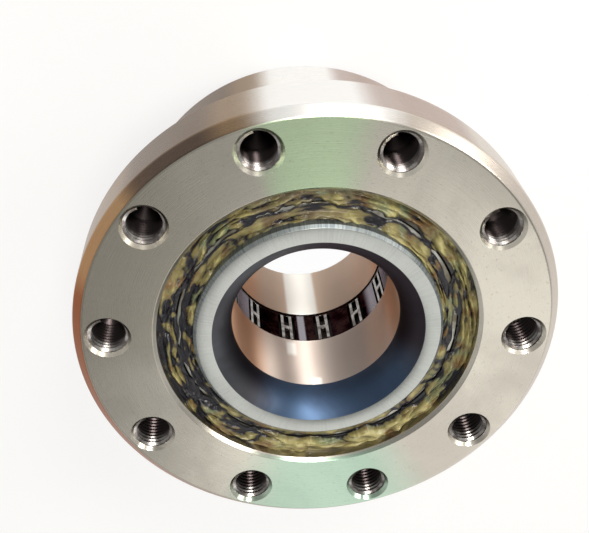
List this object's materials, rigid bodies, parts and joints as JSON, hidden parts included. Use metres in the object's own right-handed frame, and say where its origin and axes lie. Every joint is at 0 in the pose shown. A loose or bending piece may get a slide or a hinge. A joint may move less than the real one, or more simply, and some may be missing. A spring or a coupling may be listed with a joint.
{
  "type": "wheel hub bearing",
  "caption": "Flanged hub bearing unit: tapped outer ring turns on rows of tapered rollers round bored inner rings joined by a clip ring, sealed at each end.",
  "frame": {"origin": "centre of the rear inner ring's end face, on the bearing's axis", "axes": "+Z along the bearing's axis, from the rear seating face to the flange face; +X through a tapped hole"},
  "size_m": [0.196, 0.196, 0.1083],
  "materials": {
    "turned_steel": "fine turned, satin",
    "ground_steel": "ground, with a blue-black mouth",
    "blued_steel": "blued, with bright clip prongs",
    "pressed_steel": "pressed sheet, greasy",
    "seal_rubber": "black moulded rubber",
    "spring_steel": "drawn wire",
    "cage_polymer": "moulded, glass filled",
    "roller_steel": "ground and honed"
  },
  "bodies": {
    "inner_rings": {"inner_ring_front": "ground_steel", "inner_ring_rear": "ground_steel", "clip_ring": "blued_steel", "seal_flinger_front": "pressed_steel", "seal_flinger_rear": "pressed_steel"},
    "hub_outer": {"outer_ring": "turned_steel", "seal_case_front": "pressed_steel", "seal_rubber_front": "seal_rubber", "seal_spring_front": "spring_steel", "seal_case_rear": "pressed_steel", "seal_rubber_rear": "seal_rubber", "seal_spring_rear": "spring_steel"},
    "cage_front": {"cage_front": "cage_polymer"},
    "cage_rear": {"cage_rear": "cage_polymer"},
    "roller_front_01": {"roller_front_01": "roller_steel"},
    "roller_front_02": {"roller_front_02": "roller_steel"},
    "roller_front_03": {"roller_front_03": "roller_steel"},
    "roller_front_04": {"roller_front_04": "roller_steel"},
    "roller_front_05": {"roller_front_05": "roller_steel"},
    "roller_front_06": {"roller_front_06": "roller_steel"},
    "roller_front_07": {"roller_front_07": "roller_steel"},
    "roller_front_08": {"roller_front_08": "roller_steel"},
    "roller_front_09": {"roller_front_09": "roller_steel"},
    "roller_front_10": {"roller_front_10": "roller_steel"},
    "roller_front_11": {"roller_front_11": "roller_steel"},
    "roller_front_12": {"roller_front_12": "roller_steel"},
    "roller_front_13": {"roller_front_13": "roller_steel"},
    "roller_front_14": {"roller_front_14": "roller_steel"},
    "roller_front_15": {"roller_front_15": "roller_steel"},
    "roller_front_16": {"roller_front_16": "roller_steel"},
    "roller_front_17": {"roller_front_17": "roller_steel"},
    "roller_front_18": {"roller_front_18": "roller_steel"},
    "roller_front_19": {"roller_front_19": "roller_steel"},
    "roller_front_20": {"roller_front_20": "roller_steel"},
    "roller_rear_01": {"roller_rear_01": "roller_steel"},
    "roller_rear_02": {"roller_rear_02": "roller_steel"},
    "roller_rear_03": {"roller_rear_03": "roller_steel"},
    "roller_rear_04": {"roller_rear_04": "roller_steel"},
    "roller_rear_05": {"roller_rear_05": "roller_steel"},
    "roller_rear_06": {"roller_rear_06": "roller_steel"},
    "roller_rear_07": {"roller_rear_07": "roller_steel"},
    "roller_rear_08": {"roller_rear_08": "roller_steel"},
    "roller_rear_09": {"roller_rear_09": "roller_steel"},
    "roller_rear_10": {"roller_rear_10": "roller_steel"},
    "roller_rear_11": {"roller_rear_11": "roller_steel"},
    "roller_rear_12": {"roller_rear_12": "roller_steel"},
    "roller_rear_13": {"roller_rear_13": "roller_steel"},
    "roller_rear_14": {"roller_rear_14": "roller_steel"},
    "roller_rear_15": {"roller_rear_15": "roller_steel"},
    "roller_rear_16": {"roller_rear_16": "roller_steel"},
    "roller_rear_17": {"roller_rear_17": "roller_steel"},
    "roller_rear_18": {"roller_rear_18": "roller_steel"},
    "roller_rear_19": {"roller_rear_19": "roller_steel"},
    "roller_rear_20": {"roller_rear_20": "roller_steel"}
  },
  "joints": [
    {"name": "outer_ring_spin", "type": "hinge", "parent": "inner_rings", "child": "hub_outer", "pos_m": [0, 0, 0.05], "axis": [0, 0, 1], "continuous": true},
    {"name": "cage_front_spin", "type": "hinge", "parent": "inner_rings", "child": "cage_front", "pos_m": [0, 0, 0.07], "axis": [0, 0, 1], "continuous": true},
    {"name": "cage_rear_spin", "type": "hinge", "parent": "inner_rings", "child": "cage_rear", "pos_m": [0, 0, 0.03], "axis": [0, 0, 1], "continuous": true},
    {"name": "roller_front_01_spin", "type": "hinge", "parent": "cage_front", "child": "roller_front_01", "pos_m": [0.052, 0, 0.07], "axis": [0.2079, 0, 0.9781], "continuous": true},
    {"name": "roller_front_02_spin", "type": "hinge", "parent": "cage_front", "child": "roller_front_02", "pos_m": [0.04945, 0.01607, 0.07], "axis": [0.1977, 0.0642, 0.9781], "continuous": true},
    {"name": "roller_front_03_spin", "type": "hinge", "parent": "cage_front", "child": "roller_front_03", "pos_m": [0.04207, 0.03056, 0.07], "axis": [0.1682, 0.1222, 0.9781], "continuous": true},
    {"name": "roller_front_04_spin", "type": "hinge", "parent": "cage_front", "child": "roller_front_04", "pos_m": [0.03056, 0.04207, 0.07], "axis": [0.1222, 0.1682, 0.9781], "continuous": true},
    {"name": "roller_front_05_spin", "type": "hinge", "parent": "cage_front", "child": "roller_front_05", "pos_m": [0.01607, 0.04945, 0.07], "axis": [0.0642, 0.1977, 0.9781], "continuous": true},
    {"name": "roller_front_06_spin", "type": "hinge", "parent": "cage_front", "child": "roller_front_06", "pos_m": [0, 0.052, 0.07], "axis": [0, 0.2079, 0.9781], "continuous": true},
    {"name": "roller_front_07_spin", "type": "hinge", "parent": "cage_front", "child": "roller_front_07", "pos_m": [-0.01607, 0.04945, 0.07], "axis": [-0.0642, 0.1977, 0.9781], "continuous": true},
    {"name": "roller_front_08_spin", "type": "hinge", "parent": "cage_front", "child": "roller_front_08", "pos_m": [-0.03056, 0.04207, 0.07], "axis": [-0.1222, 0.1682, 0.9781], "continuous": true},
    {"name": "roller_front_09_spin", "type": "hinge", "parent": "cage_front", "child": "roller_front_09", "pos_m": [-0.04207, 0.03056, 0.07], "axis": [-0.1682, 0.1222, 0.9781], "continuous": true},
    {"name": "roller_front_10_spin", "type": "hinge", "parent": "cage_front", "child": "roller_front_10", "pos_m": [-0.04945, 0.01607, 0.07], "axis": [-0.1977, 0.0642, 0.9781], "continuous": true},
    {"name": "roller_front_11_spin", "type": "hinge", "parent": "cage_front", "child": "roller_front_11", "pos_m": [-0.052, 0, 0.07], "axis": [-0.2079, 0, 0.9781], "continuous": true},
    {"name": "roller_front_12_spin", "type": "hinge", "parent": "cage_front", "child": "roller_front_12", "pos_m": [-0.04945, -0.01607, 0.07], "axis": [-0.1977, -0.0642, 0.9781], "continuous": true},
    {"name": "roller_front_13_spin", "type": "hinge", "parent": "cage_front", "child": "roller_front_13", "pos_m": [-0.04207, -0.03056, 0.07], "axis": [-0.1682, -0.1222, 0.9781], "continuous": true},
    {"name": "roller_front_14_spin", "type": "hinge", "parent": "cage_front", "child": "roller_front_14", "pos_m": [-0.03056, -0.04207, 0.07], "axis": [-0.1222, -0.1682, 0.9781], "continuous": true},
    {"name": "roller_front_15_spin", "type": "hinge", "parent": "cage_front", "child": "roller_front_15", "pos_m": [-0.01607, -0.04945, 0.07], "axis": [-0.0642, -0.1977, 0.9781], "continuous": true},
    {"name": "roller_front_16_spin", "type": "hinge", "parent": "cage_front", "child": "roller_front_16", "pos_m": [0, -0.052, 0.07], "axis": [0, -0.2079, 0.9781], "continuous": true},
    {"name": "roller_front_17_spin", "type": "hinge", "parent": "cage_front", "child": "roller_front_17", "pos_m": [0.01607, -0.04945, 0.07], "axis": [0.0642, -0.1977, 0.9781], "continuous": true},
    {"name": "roller_front_18_spin", "type": "hinge", "parent": "cage_front", "child": "roller_front_18", "pos_m": [0.03056, -0.04207, 0.07], "axis": [0.1222, -0.1682, 0.9781], "continuous": true},
    {"name": "roller_front_19_spin", "type": "hinge", "parent": "cage_front", "child": "roller_front_19", "pos_m": [0.04207, -0.03056, 0.07], "axis": [0.1682, -0.1222, 0.9781], "continuous": true},
    {"name": "roller_front_20_spin", "type": "hinge", "parent": "cage_front", "child": "roller_front_20", "pos_m": [0.04945, -0.01607, 0.07], "axis": [0.1977, -0.0642, 0.9781], "continuous": true},
    {"name": "roller_rear_01_spin", "type": "hinge", "parent": "cage_rear", "child": "roller_rear_01", "pos_m": [0.052, 0, 0.03], "axis": [-0.2079, 0, 0.9781], "continuous": true},
    {"name": "roller_rear_02_spin", "type": "hinge", "parent": "cage_rear", "child": "roller_rear_02", "pos_m": [0.04945, -0.01607, 0.03], "axis": [-0.1977, 0.0642, 0.9781], "continuous": true},
    {"name": "roller_rear_03_spin", "type": "hinge", "parent": "cage_rear", "child": "roller_rear_03", "pos_m": [0.04207, -0.03056, 0.03], "axis": [-0.1682, 0.1222, 0.9781], "continuous": true},
    {"name": "roller_rear_04_spin", "type": "hinge", "parent": "cage_rear", "child": "roller_rear_04", "pos_m": [0.03056, -0.04207, 0.03], "axis": [-0.1222, 0.1682, 0.9781], "continuous": true},
    {"name": "roller_rear_05_spin", "type": "hinge", "parent": "cage_rear", "child": "roller_rear_05", "pos_m": [0.01607, -0.04945, 0.03], "axis": [-0.0642, 0.1977, 0.9781], "continuous": true},
    {"name": "roller_rear_06_spin", "type": "hinge", "parent": "cage_rear", "child": "roller_rear_06", "pos_m": [0, -0.052, 0.03], "axis": [0, 0.2079, 0.9781], "continuous": true},
    {"name": "roller_rear_07_spin", "type": "hinge", "parent": "cage_rear", "child": "roller_rear_07", "pos_m": [-0.01607, -0.04945, 0.03], "axis": [0.0642, 0.1977, 0.9781], "continuous": true},
    {"name": "roller_rear_08_spin", "type": "hinge", "parent": "cage_rear", "child": "roller_rear_08", "pos_m": [-0.03056, -0.04207, 0.03], "axis": [0.1222, 0.1682, 0.9781], "continuous": true},
    {"name": "roller_rear_09_spin", "type": "hinge", "parent": "cage_rear", "child": "roller_rear_09", "pos_m": [-0.04207, -0.03056, 0.03], "axis": [0.1682, 0.1222, 0.9781], "continuous": true},
    {"name": "roller_rear_10_spin", "type": "hinge", "parent": "cage_rear", "child": "roller_rear_10", "pos_m": [-0.04945, -0.01607, 0.03], "axis": [0.1977, 0.0642, 0.9781], "continuous": true},
    {"name": "roller_rear_11_spin", "type": "hinge", "parent": "cage_rear", "child": "roller_rear_11", "pos_m": [-0.052, 0, 0.03], "axis": [0.2079, 0, 0.9781], "continuous": true},
    {"name": "roller_rear_12_spin", "type": "hinge", "parent": "cage_rear", "child": "roller_rear_12", "pos_m": [-0.04945, 0.01607, 0.03], "axis": [0.1977, -0.0642, 0.9781], "continuous": true},
    {"name": "roller_rear_13_spin", "type": "hinge", "parent": "cage_rear", "child": "roller_rear_13", "pos_m": [-0.04207, 0.03056, 0.03], "axis": [0.1682, -0.1222, 0.9781], "continuous": true},
    {"name": "roller_rear_14_spin", "type": "hinge", "parent": "cage_rear", "child": "roller_rear_14", "pos_m": [-0.03056, 0.04207, 0.03], "axis": [0.1222, -0.1682, 0.9781], "continuous": true},
    {"name": "roller_rear_15_spin", "type": "hinge", "parent": "cage_rear", "child": "roller_rear_15", "pos_m": [-0.01607, 0.04945, 0.03], "axis": [0.0642, -0.1977, 0.9781], "continuous": true},
    {"name": "roller_rear_16_spin", "type": "hinge", "parent": "cage_rear", "child": "roller_rear_16", "pos_m": [0, 0.052, 0.03], "axis": [0, -0.2079, 0.9781], "continuous": true},
    {"name": "roller_rear_17_spin", "type": "hinge", "parent": "cage_rear", "child": "roller_rear_17", "pos_m": [0.01607, 0.04945, 0.03], "axis": [-0.0642, -0.1977, 0.9781], "continuous": true},
    {"name": "roller_rear_18_spin", "type": "hinge", "parent": "cage_rear", "child": "roller_rear_18", "pos_m": [0.03056, 0.04207, 0.03], "axis": [-0.1222, -0.1682, 0.9781], "continuous": true},
    {"name": "roller_rear_19_spin", "type": "hinge", "parent": "cage_rear", "child": "roller_rear_19", "pos_m": [0.04207, 0.03056, 0.03], "axis": [-0.1682, -0.1222, 0.9781], "continuous": true},
    {"name": "roller_rear_20_spin", "type": "hinge", "parent": "cage_rear", "child": "roller_rear_20", "pos_m": [0.04945, 0.01607, 0.03], "axis": [-0.1977, -0.0642, 0.9781], "continuous": true}
  ],
  "couplings": [
    {"joint": "cage_front_spin", "follows": "outer_ring_spin", "ratio": 0.56113},
    {"joint": "cage_rear_spin", "follows": "outer_ring_spin", "ratio": 0.56113},
    {"joint": "roller_front_01_spin", "follows": "outer_ring_spin", "ratio": 3.9402},
    {"joint": "roller_front_02_spin", "follows": "outer_ring_spin", "ratio": 3.9402},
    {"joint": "roller_front_03_spin", "follows": "outer_ring_spin", "ratio": 3.9402},
    {"joint": "roller_front_04_spin", "follows": "outer_ring_spin", "ratio": 3.9402},
    {"joint": "roller_front_05_spin", "follows": "outer_ring_spin", "ratio": 3.9402},
    {"joint": "roller_front_06_spin", "follows": "outer_ring_spin", "ratio": 3.9402},
    {"joint": "roller_front_07_spin", "follows": "outer_ring_spin", "ratio": 3.9402},
    {"joint": "roller_front_08_spin", "follows": "outer_ring_spin", "ratio": 3.9402},
    {"joint": "roller_front_09_spin", "follows": "outer_ring_spin", "ratio": 3.9402},
    {"joint": "roller_front_10_spin", "follows": "outer_ring_spin", "ratio": 3.9402},
    {"joint": "roller_front_11_spin", "follows": "outer_ring_spin", "ratio": 3.9402},
    {"joint": "roller_front_12_spin", "follows": "outer_ring_spin", "ratio": 3.9402},
    {"joint": "roller_front_13_spin", "follows": "outer_ring_spin", "ratio": 3.9402},
    {"joint": "roller_front_14_spin", "follows": "outer_ring_spin", "ratio": 3.9402},
    {"joint": "roller_front_15_spin", "follows": "outer_ring_spin", "ratio": 3.9402},
    {"joint": "roller_front_16_spin", "follows": "outer_ring_spin", "ratio": 3.9402},
    {"joint": "roller_front_17_spin", "follows": "outer_ring_spin", "ratio": 3.9402},
    {"joint": "roller_front_18_spin", "follows": "outer_ring_spin", "ratio": 3.9402},
    {"joint": "roller_front_19_spin", "follows": "outer_ring_spin", "ratio": 3.9402},
    {"joint": "roller_front_20_spin", "follows": "outer_ring_spin", "ratio": 3.9402},
    {"joint": "roller_rear_01_spin", "follows": "outer_ring_spin", "ratio": 3.9402},
    {"joint": "roller_rear_02_spin", "follows": "outer_ring_spin", "ratio": 3.9402},
    {"joint": "roller_rear_03_spin", "follows": "outer_ring_spin", "ratio": 3.9402},
    {"joint": "roller_rear_04_spin", "follows": "outer_ring_spin", "ratio": 3.9402},
    {"joint": "roller_rear_05_spin", "follows": "outer_ring_spin", "ratio": 3.9402},
    {"joint": "roller_rear_06_spin", "follows": "outer_ring_spin", "ratio": 3.9402},
    {"joint": "roller_rear_07_spin", "follows": "outer_ring_spin", "ratio": 3.9402},
    {"joint": "roller_rear_08_spin", "follows": "outer_ring_spin", "ratio": 3.9402},
    {"joint": "roller_rear_09_spin", "follows": "outer_ring_spin", "ratio": 3.9402},
    {"joint": "roller_rear_10_spin", "follows": "outer_ring_spin", "ratio": 3.9402},
    {"joint": "roller_rear_11_spin", "follows": "outer_ring_spin", "ratio": 3.9402},
    {"joint": "roller_rear_12_spin", "follows": "outer_ring_spin", "ratio": 3.9402},
    {"joint": "roller_rear_13_spin", "follows": "outer_ring_spin", "ratio": 3.9402},
    {"joint": "roller_rear_14_spin", "follows": "outer_ring_spin", "ratio": 3.9402},
    {"joint": "roller_rear_15_spin", "follows": "outer_ring_spin", "ratio": 3.9402},
    {"joint": "roller_rear_16_spin", "follows": "outer_ring_spin", "ratio": 3.9402},
    {"joint": "roller_rear_17_spin", "follows": "outer_ring_spin", "ratio": 3.9402},
    {"joint": "roller_rear_18_spin", "follows": "outer_ring_spin", "ratio": 3.9402},
    {"joint": "roller_rear_19_spin", "follows": "outer_ring_spin", "ratio": 3.9402},
    {"joint": "roller_rear_20_spin", "follows": "outer_ring_spin", "ratio": 3.9402}
  ]
}
